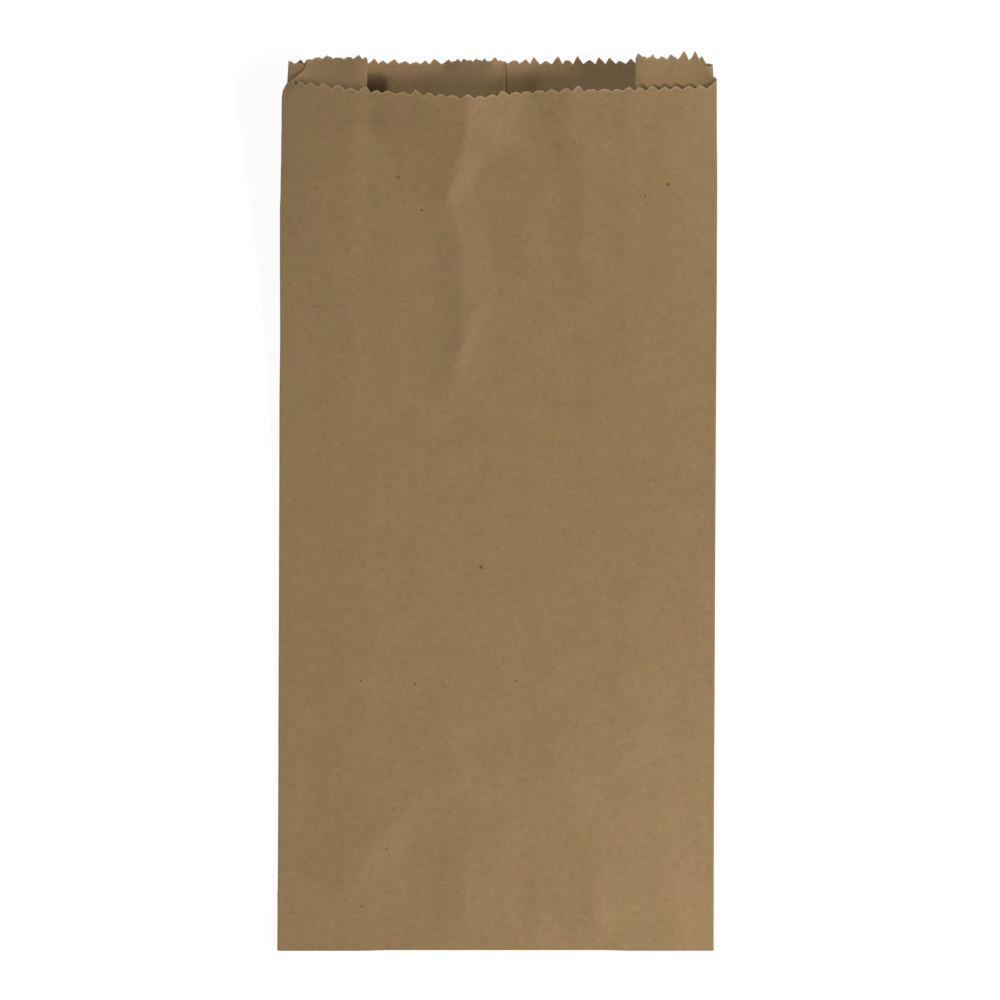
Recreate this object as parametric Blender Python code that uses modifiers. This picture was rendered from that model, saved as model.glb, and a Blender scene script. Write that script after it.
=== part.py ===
"""Brown paper lunch bag: one sheet of kraft paper folded into a tube with a gusset in each side.

The sheet's two edges lap and are glued down the middle of the back. The bottom of the tube is folded
up over the back and glued. The mouth is cut with a saw-toothed edge, the front lower than the back.
The bag lies on its back with its mouth a little open. X runs across it, Y from the bottom fold to the
mouth, and Z up from the table. The origin is on the table, under the middle of the bag.
"""

import math

import bmesh
import bpy
from mathutils import Vector

OBJECT_NAME = "paper_lunch_bag"

# The paper, and the air between its folded layers
PAPER = 0.0001
LAYER_GAP = 0.0001

# The folded tube
FACE_WIDTH = 0.130
LEFT_GUSSET_DEPTH = 0.0254
RIGHT_GUSSET_DEPTH = 0.0237
BACK_HEIGHT = 0.2646
FRONT_HEIGHT = 0.2573

# The lapped seam down the back: where its edges lie from the centre line, and its glue
LAP_INNER_EDGE = 0.002
LAP_OUTER_EDGE = -0.017
LAP_RAMP = 0.004
LAP_GLUE_MARGIN = 0.003
GLUE = 0.00005
GLUE_BITE = 0.00002

# The bottom, folded up over the back
FLAP_LENGTH = 0.017
FLAP_TONGUE = 0.0095
FLAP_GLUE_SETBACK = 0.0025
FLAP_GLUE_MARGIN = 0.004
SETTLE_LENGTH = 0.0045

# The mouth: how far its folds and its front stand up, and where the opening starts
LEFT_BACK_LIFT = 0.0090
LEFT_CREASE_LIFT = 0.0105
LEFT_FRONT_LIFT = 0.0120
RIGHT_BACK_LIFT = 0.0080
RIGHT_CREASE_LIFT = 0.0125
RIGHT_FRONT_LIFT = 0.0105
FRONT_RISE = 0.0055
FRONT_CURVE = 4
LEFT_BACK_TUCK = 0.0012
RIGHT_BACK_TUCK = 0.0004
MOUTH_SHIFT = 0.0010
FLAT_BACK_HALF_WIDTH = 0.0097
BACK_CURVE = 1.5
OPENING_START = 0.105
OPENING_CURVE = 2
LOOSENESS = 0.03
FRONT_SAG_RAMP = 0.009

# The saw-toothed cut, and the slope of its step from the front down to the gussets
FRONT_TOOTH_PITCH = 0.0037
BACK_TOOTH_PITCH = 0.0032
TOOTH_DEPTH = 0.0013
TOOTH_BAND = 0.0070
STEP_ON_FRONT = 0.0030
STEP_ON_GUSSET = 0.0060
FRONT_CUT_BOW = 0.0012
TONGUE_CORNER = 0.0040

# How finely the sheet is divided
PANEL_SPACING = 0.012
GUSSET_SPACING = 0.013
OPENING_ROWS = 7
TURN_SEGMENTS = 3
BOTTOM_SEGMENTS = 5
MEASURING_STEPS = 12

KRAFT_BROWN = (0.262, 0.174, 0.084, 1.0)
KRAFT_ROUGHNESS = 0.85

# What follows from those sizes
LAYER_PITCH = PAPER + LAYER_GAP
TURN_RADIUS = LAYER_PITCH / 2
HALF_WIDTH = FACE_WIDTH / 2 - TURN_RADIUS - PAPER / 2
BACK_TO_CREASE = 1.5 * LAYER_PITCH
BACK_TO_FRONT = 3 * LAYER_PITCH
STACK_HEIGHT = TURN_RADIUS + BACK_TO_FRONT
FOLD_Y = STACK_HEIGHT + PAPER / 2
FOLD_Z = STACK_HEIGHT + PAPER / 2
LAP_RISE = PAPER + GLUE
LAP_CLIMB = (LAP_OUTER_EDGE, LAP_OUTER_EDGE - LAP_RAMP)
TABLE_LEVEL = PAPER / 2
TONGUE_LEVEL = TABLE_LEVEL + LAP_RISE
FLAP_END = FOLD_Y + FLAP_LENGTH
TONGUE_END = FLAP_END + FLAP_TONGUE
ROUNDING = 1e-9
LEFT, RIGHT = -1, 1


def share(value, low, high):
    """How far value lies from low to high, from 0 to 1."""
    return min(1.0, max(0.0, (value - low) / (high - low)))


def ease(t):
    return t * t * (3 - 2 * t)


def mix(a, b, t):
    return a + (b - a) * t


def one_of(side, left, right):
    return left if side == LEFT else right


def gusset_depth(side):
    return one_of(side, LEFT_GUSSET_DEPTH, RIGHT_GUSSET_DEPTH)


def opened(v):
    """How open the bag is at length v, from 0 at the glued bottom to 1 at the back lip."""
    loose = LOOSENESS * ease(share(v, TONGUE_END, OPENING_START))
    return loose + (1 - LOOSENESS) * share(v, OPENING_START, BACK_HEIGHT) ** OPENING_CURVE


def floor_level(v):
    """Height of the middle of the back: over the flap, over the glued tongue, then on the table."""
    on_flap = FOLD_Z + TURN_RADIUS
    to_tongue = ease(share(v, FLAP_END, FLAP_END + SETTLE_LENGTH))
    to_table = ease(share(v, TONGUE_END, TONGUE_END + SETTLE_LENGTH))
    return mix(mix(on_flap, TONGUE_LEVEL, to_tongue), TABLE_LEVEL, to_table)


def back_z(s, v):
    """Height of the back panel at s across it and v along it."""
    lift = LEFT_BACK_LIFT if s < 0 else RIGHT_BACK_LIFT
    outward = share(abs(s), FLAT_BACK_HALF_WIDTH, HALF_WIDTH) ** BACK_CURVE
    return floor_level(v) + lift * opened(v) * outward


def lapped_z(s, v):
    """Height of the back panel's left half, which climbs over the right one at the seam."""
    return back_z(s, v) + LAP_RISE * (1 - share(-s, -LAP_CLIMB[0], -LAP_CLIMB[1]))


def front_edge_z(side, v):
    return floor_level(v) + BACK_TO_FRONT + one_of(side, LEFT_FRONT_LIFT, RIGHT_FRONT_LIFT) * opened(v)


def crease_z(side, v):
    return floor_level(v) + BACK_TO_CREASE + one_of(side, LEFT_CREASE_LIFT, RIGHT_CREASE_LIFT) * opened(v)


def front_z(s, v):
    """Height of the front panel: an arch between the side folds, lower where no gusset is under it."""
    across = s / HALF_WIDTH
    side = LEFT if s < 0 else RIGHT
    edge = mix(front_edge_z(LEFT, v), front_edge_z(RIGHT, v), (across + 1) / 2)
    crease = HALF_WIDTH - gusset_depth(side)
    sag = LAYER_PITCH * ease(share(abs(s), crease, crease - FRONT_SAG_RAMP))
    return edge + FRONT_RISE * opened(v) * (1 - abs(across) ** FRONT_CURVE) - sag


def sideways(v):
    """How far the bag leans to the right at length v."""
    return MOUTH_SHIFT * v / BACK_HEIGHT


def across_x(height, s, v):
    """X of the point s across a panel, which keeps the paper's own width where the panel curves."""
    step = s / MEASURING_STEPS
    heights = [height(i * step, v) for i in range(MEASURING_STEPS + 1)]
    runs = [math.sqrt(max(0.0, step * step - (b - a) ** 2)) for a, b in zip(heights, heights[1:])]
    return math.copysign(sum(runs), s)


def back_x(s, v):
    """X of the point s across the back panel, whose sides are tucked in a little at the mouth."""
    tuck = LEFT_BACK_TUCK if s < 0 else RIGHT_BACK_TUCK
    return across_x(back_z, s, v) - math.copysign(tuck * opened(v) * (s / HALF_WIDTH) ** 2, s)


def back_turn(side, v):
    """Centre of the fold between the back panel and its gusset."""
    edge = side * HALF_WIDTH
    return back_x(edge, v), back_z(edge, v) + TURN_RADIUS


def front_turn(side, v):
    """Centre of the fold between the front panel and its gusset."""
    edge = side * HALF_WIDTH
    return across_x(front_z, edge, v), front_z(edge, v) - TURN_RADIUS


def crease_turn(side, v):
    """Centre of the crease in the middle of a gusset."""
    x_at_back, _ = back_turn(side, v)
    x_at_front, _ = front_turn(side, v)
    lift = one_of(side, LEFT_CREASE_LIFT - LEFT_BACK_LIFT, RIGHT_CREASE_LIFT - RIGHT_BACK_LIFT)
    inward = math.sqrt(gusset_depth(side) ** 2 - (lift * opened(v)) ** 2)
    return (x_at_back + x_at_front) / 2 - side * inward, crease_z(side, v)


def around(centre, outward, angle):
    """The point of a fold at an angle up from its outward side."""
    x, z = centre
    return x + outward * TURN_RADIUS * math.cos(angle), z + TURN_RADIUS * math.sin(angle)


def between(start, end, t):
    return mix(start[0], end[0], t), mix(start[1], end[1], t)


# Each run of the section takes t from 0 to 1 along itself and a length v, and gives (x, z).


def left_back_run(t, v):
    s = mix(LAP_INNER_EDGE, -HALF_WIDTH, t)
    return back_x(s, v), lapped_z(s, v)


def right_back_run(t, v):
    s = mix(HALF_WIDTH, LAP_OUTER_EDGE, t)
    return back_x(s, v), back_z(s, v)


def front_run(t, v):
    s = mix(-HALF_WIDTH, HALF_WIDTH, t)
    return across_x(front_z, s, v), front_z(s, v)


def back_turn_run(side):
    return lambda t, v: around(back_turn(side, v), side, mix(-math.pi / 2, math.pi / 2, t))


def crease_run(side):
    return lambda t, v: around(crease_turn(side, v), -side, mix(-math.pi / 2, math.pi / 2, t))


def front_turn_run(side):
    return lambda t, v: around(front_turn(side, v), side, mix(-math.pi / 2, math.pi / 2, t))


def gusset_back_run(side):
    def place(t, v):
        start = around(back_turn(side, v), side, math.pi / 2)
        return between(start, around(crease_turn(side, v), -side, -math.pi / 2), t)

    return place


def gusset_front_run(side):
    def place(t, v):
        start = around(crease_turn(side, v), -side, math.pi / 2)
        return between(start, around(front_turn(side, v), side, -math.pi / 2), t)

    return place


def reversed_run(run):
    return lambda t, v: run(1 - t, v)


def stops_of(length, marks, spacing):
    """Where a run of this length is divided: at its ends and marks, and evenly between those."""
    fixed = sorted({0.0, length, *(m for m in marks if 0 < m < length)})
    stops = [0.0]
    for a, b in zip(fixed, fixed[1:]):
        pieces = max(1, round((b - a) / spacing))
        stops += [mix(a, b, (i + 1) / pieces) / length for i in range(pieces)]
    return stops


def section_runs():
    """The sheet's runs in order across the web: (name, placing function, length, stops)."""
    turn_length = math.pi * TURN_RADIUS
    turn_stops = [i / TURN_SEGMENTS for i in range(TURN_SEGMENTS + 1)]
    left_length = HALF_WIDTH + LAP_INNER_EDGE
    right_length = HALF_WIDTH - LAP_OUTER_EDGE
    left_marks = [LAP_INNER_EDGE - mark for mark in (-FLAT_BACK_HALF_WIDTH, *LAP_CLIMB)]
    right_marks = [HALF_WIDTH - mark for mark in (FLAT_BACK_HALF_WIDTH, -FLAT_BACK_HALF_WIDTH)]
    front_marks = [STEP_ON_FRONT, 2 * HALF_WIDTH - STEP_ON_FRONT]
    for side, depth in ((LEFT, LEFT_GUSSET_DEPTH), (RIGHT, RIGHT_GUSSET_DEPTH)):
        front_marks += [HALF_WIDTH + side * (HALF_WIDTH - depth)]
        front_marks += [HALF_WIDTH + side * (HALF_WIDTH - depth - FRONT_SAG_RAMP)]

    def gusset(side, depth):
        step_mark = [depth - STEP_ON_GUSSET]
        return [
            ("turn", back_turn_run(side), turn_length, turn_stops),
            ("gusset", gusset_back_run(side), depth, stops_of(depth, [], GUSSET_SPACING)),
            ("turn", crease_run(side), turn_length, turn_stops),
            ("gusset", gusset_front_run(side), depth, stops_of(depth, step_mark, GUSSET_SPACING)),
            ("turn", front_turn_run(side), turn_length, turn_stops),
        ]

    right = [
        (name, reversed_run(place), length, [1 - stop for stop in reversed(stops)])
        for name, place, length, stops in reversed(gusset(RIGHT, RIGHT_GUSSET_DEPTH))
    ]
    return [
        ("back", left_back_run, left_length, stops_of(left_length, left_marks, PANEL_SPACING)),
        *gusset(LEFT, LEFT_GUSSET_DEPTH),
        ("front", front_run, 2 * HALF_WIDTH, stops_of(2 * HALF_WIDTH, front_marks, PANEL_SPACING)),
        *right,
        ("back", right_back_run, right_length, stops_of(right_length, right_marks, PANEL_SPACING)),
    ]


class Web:
    """The flat sheet: where each of its runs lies across the web, and how to place a point of it."""

    def __init__(self):
        self.runs = section_runs()
        self.starts = [0.0]
        for _, _, length, _ in self.runs:
            self.starts.append(self.starts[-1] + length)
        front = [name for name, *_ in self.runs].index("front")
        self.front_start, self.front_end = self.starts[front], self.starts[front + 1]
        self.columns = self.divide()

    def divide(self):
        """The columns' places across the web, in order."""
        columns = [0.0]
        for start, (_, _, length, stops) in zip(self.starts, self.runs):
            columns += [start + stop * length for stop in stops[1:]]
        return columns

    def section(self, u, v):
        """(x, z) of the point u across the web and v along it."""
        index = len(self.runs) - 1
        while index and u < self.starts[index]:
            index -= 1
        _, place, length, _ = self.runs[index]
        x, z = place(min(1.0, (u - self.starts[index]) / length), v)
        return x + sideways(v), z

    def on_front(self, u):
        return self.front_start - ROUNDING <= u <= self.front_end + ROUNDING

    def cut_length(self, u):
        """Length of the sheet at u, without its teeth: low over the front, with a slope at each side."""
        inside = min(u - self.front_start, self.front_end - u)
        low = share(inside, -math.pi * TURN_RADIUS - STEP_ON_GUSSET, STEP_ON_FRONT)
        middle = (2 * u - self.front_start - self.front_end) / (self.front_end - self.front_start)
        bow = FRONT_CUT_BOW * max(0.0, 1 - middle * middle)
        return mix(BACK_HEIGHT, FRONT_HEIGHT - bow, low)

    def tongue_length(self, u):
        """Where the tongue's cut lies at u, without its teeth: its corners are cut off."""
        inside = min(u - self.front_start, self.front_end - u)
        return TONGUE_END - TOOTH_DEPTH - TONGUE_CORNER * (1 - share(inside, 0, TONGUE_CORNER))

    def tooth_pitch(self, u):
        return FRONT_TOOTH_PITCH if self.on_front(u) else BACK_TOOTH_PITCH

    def saw(self, u):
        """Height of the saw-toothed edge over its valleys at u across the web."""
        phase = (u / self.tooth_pitch(u)) % 1
        return TOOTH_DEPTH * (1 - abs(2 * phase - 1))

    def tooth_stops(self, start, end):
        """The ends of a cell between two columns, with the tips and valleys of the teeth between them."""
        half_pitch = self.tooth_pitch((start + end) / 2) / 2
        room = half_pitch / 6
        first = math.floor(start / half_pitch) + 1
        last = math.ceil(end / half_pitch)
        turns = [i * half_pitch for i in range(first, last)]
        return [start, *(u for u in turns if start + room < u < end - room), end]

    def body_point(self, u, v):
        """A point of the bag above its bottom fold. A climbing strip of paper reaches less far along Y."""
        step = (v - FOLD_Y) / MEASURING_STEPS
        heights = [self.section(u, FOLD_Y + i * step)[1] for i in range(MEASURING_STEPS + 1)]
        flat = FOLD_Y + sum(
            math.sqrt(max(0.0, step * step - (b - a) ** 2)) for a, b in zip(heights, heights[1:])
        )
        x, z = self.section(u, v)
        return Vector((x, flat, z))

    def bottom_point(self, u, angle):
        """A point of the bottom fold: the section turned by angle about the fold's axis."""
        x, z = self.section(u, FOLD_Y)
        reach = z - FOLD_Z
        return Vector((x, FOLD_Y - reach * math.sin(angle), FOLD_Z + reach * math.cos(angle)))

    def flap_point(self, u, y):
        """A point of the flap under the back, and of the tongue that settles onto the table."""
        x, z = self.section(u, FOLD_Y)
        settled = ease(share(y, FLAP_END, FLAP_END + SETTLE_LENGTH))
        return Vector((x, y, mix(2 * FOLD_Z - z, TABLE_LEVEL, settled)))


def toothed_cells(web, columns, line, place):
    """Points along a saw-toothed edge, one list for each cell between two columns.

    Each point lies on the straight line between its two columns, so that the layers stay apart.
    """
    cells = []
    for start, end in zip(columns, columns[1:]):
        points = []
        for u in web.tooth_stops(start, end):
            y = line(u) + web.saw(u)
            points.append(place(start, y).lerp(place(end, y), (u - start) / (end - start)))
        cells.append(points)
    return cells


def join_toothed_edge(bm, base, cells, reverse):
    """Fills between a row of vertices and the saw-toothed edge beyond it."""
    joined = None
    for left, right, points in zip(base, base[1:], cells):
        tips = [joined or bm.verts.new(points[0])]
        tips += add_row(bm, points[1:])
        joined = tips[-1]
        middle = (len(tips) - 1) // 2
        triangles = [(left, tips[i], tips[i + 1]) for i in range(middle)]
        triangles.append((left, tips[middle], right))
        triangles += [(right, tips[i], tips[i + 1]) for i in range(middle, len(tips) - 1)]
        for triangle in triangles:
            bm.faces.new(reversed(triangle) if reverse else triangle)


def add_row(bm, points):
    return [bm.verts.new(point) for point in points]


def join_rows(bm, first, second):
    for a, b, c, d in zip(first, first[1:], second[1:], second):
        bm.faces.new((a, d, c, b))


def body_lengths():
    """The rows above the bottom fold, as far as the saw-toothed band."""
    settle = [FLAP_END, FLAP_END + SETTLE_LENGTH, TONGUE_END, TONGUE_END + SETTLE_LENGTH]
    highest = FRONT_HEIGHT - FRONT_CUT_BOW - TOOTH_BAND
    opening = [mix(OPENING_START, highest, i / OPENING_ROWS) for i in range(OPENING_ROWS)]
    middle = mix(settle[-1], OPENING_START, 0.5)
    return [FOLD_Y, *settle, middle, *opening]


def build_sheet(web):
    """The middle surface of the folded sheet, from the flap's tongue round the bottom fold to the mouth."""
    bm = bmesh.new()
    columns = web.columns
    rows = [add_row(bm, [web.body_point(u, v) for u in columns]) for v in body_lengths()]
    turned = [
        add_row(bm, [web.bottom_point(u, math.pi * i / BOTTOM_SEGMENTS) for u in columns])
        for i in range(1, BOTTOM_SEGMENTS + 1)
    ]
    flap_end = add_row(bm, [web.flap_point(u, FLAP_END) for u in columns])
    rows = [flap_end, *reversed(turned), *rows]
    base = add_row(bm, [web.body_point(u, web.cut_length(u) - TOOTH_BAND) for u in columns])
    rows.append(base)
    for first, second in zip(rows, rows[1:]):
        join_rows(bm, first, second)
    cells = toothed_cells(web, columns, web.cut_length, web.body_point)
    join_toothed_edge(bm, base, cells, reverse=False)
    add_tongue(bm, web, flap_end)
    mesh = bpy.data.meshes.new(OBJECT_NAME)
    bm.to_mesh(mesh)
    bm.free()
    return mesh


def add_tongue(bm, web, flap_end):
    """The front's longer end, which reaches past the flap and is glued to the back."""
    kept = [(u, vert) for u, vert in zip(web.columns, flap_end) if web.on_front(u)]
    columns = [u for u, _ in kept]
    settled = add_row(bm, [web.flap_point(u, FLAP_END + SETTLE_LENGTH) for u in columns])
    join_rows(bm, settled, [vert for _, vert in kept])
    cells = toothed_cells(web, columns, web.tongue_length, web.flap_point)
    join_toothed_edge(bm, settled, cells, reverse=True)


def glue_line(name, rows):
    """A thin line of dried glue, as rows of points along its middle, thick enough to bite into both layers."""
    bm = bmesh.new()
    placed = [add_row(bm, row) for row in rows]
    for first, second in zip(placed, placed[1:]):
        join_rows(bm, first, second)
    mesh = bpy.data.meshes.new(name)
    bm.to_mesh(mesh)
    bm.free()
    line = bpy.data.objects.new(name, mesh)
    add_thickness(line, GLUE + 2 * GLUE_BITE)
    line.hide_render = True
    line.display_type = "WIRE"
    return line


def seam_glue(web):
    """Glue between the two edges of the sheet, down the middle of the lap."""
    places = (LAP_GLUE_MARGIN, LAP_INNER_EDGE - LAP_OUTER_EDGE - LAP_GLUE_MARGIN)
    half_way = Vector((0, 0, -LAP_RISE / 2))
    lengths = [*body_lengths(), BACK_HEIGHT - TOOTH_BAND]
    return glue_line("seam_glue", [[web.body_point(u, v) + half_way for u in places] for v in lengths])


def tongue_glue():
    """Glue between the flap's tongue and the back."""
    reach = HALF_WIDTH - FLAP_GLUE_MARGIN
    height = TABLE_LEVEL + LAP_RISE / 2
    edges = (FLAP_END + SETTLE_LENGTH, TONGUE_END - FLAP_GLUE_SETBACK)
    return glue_line("tongue_glue", [[Vector((x, y, height)) for x in (-reach, reach)] for y in edges])


def add_thickness(obj, thickness):
    solidify = obj.modifiers.new("thickness", "SOLIDIFY")
    solidify.thickness = thickness
    solidify.offset = 0
    solidify.use_even_offset = True
    solidify.use_rim = True


def kraft_paper():
    material = bpy.data.materials.new("kraft_paper")
    material.use_nodes = True
    shader = material.node_tree.nodes["Principled BSDF"]
    shader.inputs["Base Color"].default_value = KRAFT_BROWN
    shader.inputs["Roughness"].default_value = KRAFT_ROUGHNESS
    shader.inputs["Metallic"].default_value = 0.0
    material.diffuse_color = KRAFT_BROWN
    return material


def clear_scene():
    for obj in list(bpy.data.objects):
        bpy.data.objects.remove(obj)


def new_collection(name):
    collection = bpy.data.collections.new(name)
    bpy.context.scene.collection.children.link(collection)
    return collection


def middle_of(mesh):
    """The middle of a mesh's box, seen from above."""
    xs, ys, _ = zip(*(vertex.co for vertex in mesh.vertices))
    return Vector(((min(xs) + max(xs)) / 2, (min(ys) + max(ys)) / 2, 0))


def main():
    clear_scene()
    parts, helpers = new_collection(OBJECT_NAME), new_collection("glue_lines")
    web = Web()
    bag = bpy.data.objects.new(OBJECT_NAME, build_sheet(web))
    bag.data.materials.append(kraft_paper())
    bag.location = -middle_of(bag.data)
    parts.objects.link(bag)
    add_thickness(bag, PAPER)
    for glue in (seam_glue(web), tongue_glue()):
        glue.location = bag.location
        helpers.objects.link(glue)
        join = bag.modifiers.new(glue.name, "BOOLEAN")
        join.operation = "UNION"
        join.object = glue


main()
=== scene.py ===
"""The finished look of a flat brown paper lunch bag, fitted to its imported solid.

The bag is one sheet of kraft paper. It is modelled as a fine grid of points on the sheet's middle surface,
which is folded, opened at the mouth, crumpled and then thickened. A point of the flat sheet is u, its place
across the web from the seam's inner edge round the tube, and v, its length from the bottom fold.
Across a panel, s is the distance from the panel's centre line, with the right-hand side positive.
"""

import math

import bpy
import numpy as np
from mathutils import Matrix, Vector, noise


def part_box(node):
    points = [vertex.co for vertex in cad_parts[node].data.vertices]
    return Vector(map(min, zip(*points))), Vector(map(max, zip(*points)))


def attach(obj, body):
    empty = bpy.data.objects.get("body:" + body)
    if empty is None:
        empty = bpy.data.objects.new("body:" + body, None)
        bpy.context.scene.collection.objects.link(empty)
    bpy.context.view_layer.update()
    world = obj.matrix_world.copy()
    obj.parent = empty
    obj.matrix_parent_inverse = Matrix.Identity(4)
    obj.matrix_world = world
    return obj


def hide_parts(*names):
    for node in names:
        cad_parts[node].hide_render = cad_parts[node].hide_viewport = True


bl_info = {
    "name": "Paper Lunch Bag",
    "version": (1, 0, 0),
    "blender": (4, 5, 0),
    "location": "3D View > Sidebar > Paper Bag",
    "description": "Folds a kraft paper lunch bag with a saw-toothed mouth and sets it on a pale table",
    "category": "Object",
}

SOLID_NAME = "paper_lunch_bag"

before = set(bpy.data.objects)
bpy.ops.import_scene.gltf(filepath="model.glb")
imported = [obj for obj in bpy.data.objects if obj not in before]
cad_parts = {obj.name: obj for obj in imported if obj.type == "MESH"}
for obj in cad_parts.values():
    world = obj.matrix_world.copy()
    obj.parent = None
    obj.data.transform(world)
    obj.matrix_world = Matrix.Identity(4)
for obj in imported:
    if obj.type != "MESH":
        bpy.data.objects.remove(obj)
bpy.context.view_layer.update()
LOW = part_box(SOLID_NAME)[0]
MM = 0.001
LEFT, RIGHT = -1, 1


# The sizes and colours that a user would change


def length(name, description, default, precision=4):
    return bpy.props.FloatProperty(
        name=name, description=description, default=default, unit="LENGTH", precision=precision
    )


def number(name, description, default):
    return bpy.props.FloatProperty(name=name, description=description, default=default, precision=3)


def angle(name, description, default):
    return bpy.props.FloatProperty(
        name=name, description=description, default=math.radians(default), subtype="ANGLE"
    )


def colour(name, description, default):
    return bpy.props.FloatVectorProperty(
        name=name, description=description, default=default, subtype="COLOR", size=3, min=0, max=1
    )


class FoldedSizes(bpy.types.PropertyGroup):
    """The sheet and how it is folded."""

    paper: length("Paper", "Thickness of the paper", 0.1 * MM, 5)
    layer_gap: length("Layer gap", "Air between two folded layers", 0.1 * MM, 5)
    face_width: length("Face width", "Width of the flat bag", 130 * MM)
    left_gusset: length("Left gusset", "Depth of the left gusset's fold", 24.2 * MM)
    right_gusset: length("Right gusset", "Depth of the right gusset's fold", 24.3 * MM)
    back_height: length("Back height", "From the bottom fold to the back's tooth valleys", 264.6 * MM)
    front_height: length("Front height", "From the bottom fold to the front's tooth valleys", 257.3 * MM)
    lap_inner: length("Seam inner edge", "Where the seam's upper layer ends, from the middle", 2 * MM)
    lap_outer: length("Seam outer edge", "Where the seam's lower layer ends, from the middle", -17 * MM)
    lap_ramp: length("Seam ramp", "Width over which the upper layer climbs on the lower one", 4 * MM)
    glue: length("Glue", "Thickness of the glue in the seam", 0.05 * MM, 5)
    flap: length("Flap", "Length of the bottom flap", 17 * MM)
    tongue: length("Tongue", "How far the front's tongue reaches past the flap", 9.5 * MM)
    settle: length("Settle", "Length over which a layer settles on the one below", 4.5 * MM)


class MouthSizes(bpy.types.PropertyGroup):
    """How the mouth stands open."""

    left_back: length("Left back lift", "Rise of the left back fold", 9 * MM)
    left_crease: length("Left crease lift", "Rise of the left gusset's crease", 11.2 * MM)
    left_front: length("Left front lift", "Rise of the left front fold", 12 * MM)
    right_back: length("Right back lift", "Rise of the right back fold", 6.5 * MM)
    right_crease: length("Right crease lift", "Rise of the right gusset's crease", 13.2 * MM)
    right_front: length("Right front lift", "Rise of the right front fold", 10.5 * MM)
    front_rise: length("Front rise", "How far the front arches over its folds", 5 * MM)
    gusset_sag: length("Gusset sag", "How far the gussets' upper halves sag", 1.3 * MM)
    left_tuck: length("Left tuck", "How far the left back fold is drawn in", 0.8 * MM)
    right_tuck: length("Right tuck", "How far the right back fold is drawn in", 0.4 * MM)
    lean: length("Lean", "How far the mouth leans to the right", 1.1 * MM)
    flat_back: length("Flat back", "Half the width of the back that stays on the table", 9.7 * MM)
    start: length("Opening start", "Length at which the bag starts to open", 105 * MM)
    corner_pull: length("Corner pull", "How far the front's top left corner is drawn in", 1.7 * MM)
    corner_drop: length("Corner drop", "How far that corner bends down", 1.2 * MM)
    corner_length: length("Corner length", "How far down from the mouth that corner bends", 5.5 * MM)
    seam_curl: length("Seam curl", "How far the seam's inner edge curls up", 0.35 * MM)


class CutSizes(bpy.types.PropertyGroup):
    """The saw-toothed cut."""

    front_pitch: length("Front pitch", "Distance between the front's teeth", 3.72 * MM)
    back_pitch: length("Back pitch", "Distance between the back's teeth", 3.2 * MM)
    front_depth: length("Front depth", "Height of the front's teeth", 1.35 * MM)
    back_depth: length("Back depth", "Height of the back's teeth", 1.7 * MM)
    raggedness: length("Raggedness", "How far fibres stand out of the cut", 0.07 * MM, 5)


class PaperLook(bpy.types.PropertyGroup):
    """The paper's colours and finish."""

    kraft: colour("Kraft", "Main colour of the paper", (0.235, 0.1485, 0.064))
    olive: colour("Olive tint", "Greener fibres", (0.217, 0.1485, 0.058))
    rosy: colour("Rosy tint", "Redder fibres", (0.252, 0.1485, 0.071))
    fleck: colour("Fleck", "Dark flecks of bark", (0.070, 0.040, 0.016))
    # Straw also pales the cut edge, where it is partly a painted highlight along the teeth.
    straw_and_cut_highlight: colour("Straw", "Pale slivers and the fresh cut edge", (0.48, 0.36, 0.20))
    roughness: number("Roughness", "Mean roughness of the machine-glazed side", 0.68)


class StageLook(bpy.types.PropertyGroup):
    """The table, the lights and the camera."""

    key_share: number("Key light", "Share of the light that comes softly from the left", 0.42)
    side_share: number("Side light", "Share of the light that comes across from the right", 0.42)
    low_share: number("Low light", "Share of the light that rakes in low over the right gusset", 0.05)
    corner_share: number("Corner light", "Share, at the middle, of the light from the lower right", 0.10)
    room_share: number("Room light", "Share of the light that comes from all round", 0.03)
    side_bearing: angle("Side bearing", "Direction of the side light, from the right towards the mouth", -14)
    side_height: angle("Side height", "Height of the side light above the table", 31)
    side_distance: length("Side distance", "Distance of the side light", 3.0)
    camera_height: length("Camera height", "Height of the camera above the table", 1.0)


# Measures shared by the shapes


def share(value, low, high):
    """How far value lies from low to high, from 0 to 1."""
    return np.clip((value - low) / (high - low), 0.0, 1.0)


def ease(t):
    return t * t * (3 - 2 * t)


def mix(a, b, t):
    return a + (b - a) * t


def stops(start, end, spacing, marks=()):
    """Places from start to end about one spacing apart, with each mark among them."""
    low, high = min(start, end), max(start, end)
    fixed = [low, *sorted(mark for mark in marks if low < mark < high), high]
    found = [low]
    for a, b in zip(fixed, fixed[1:]):
        pieces = max(1, round((b - a) / spacing))
        found += [mix(a, b, (i + 1) / pieces) for i in range(pieces)]
    return np.array(found if start < end else found[::-1])


# Crumples. A crest runs down a panel through stations of (across, along, height, width to its left, width to
# its right) in millimetres, and its height falls to nothing over those widths. A negative height is a valley.

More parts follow.
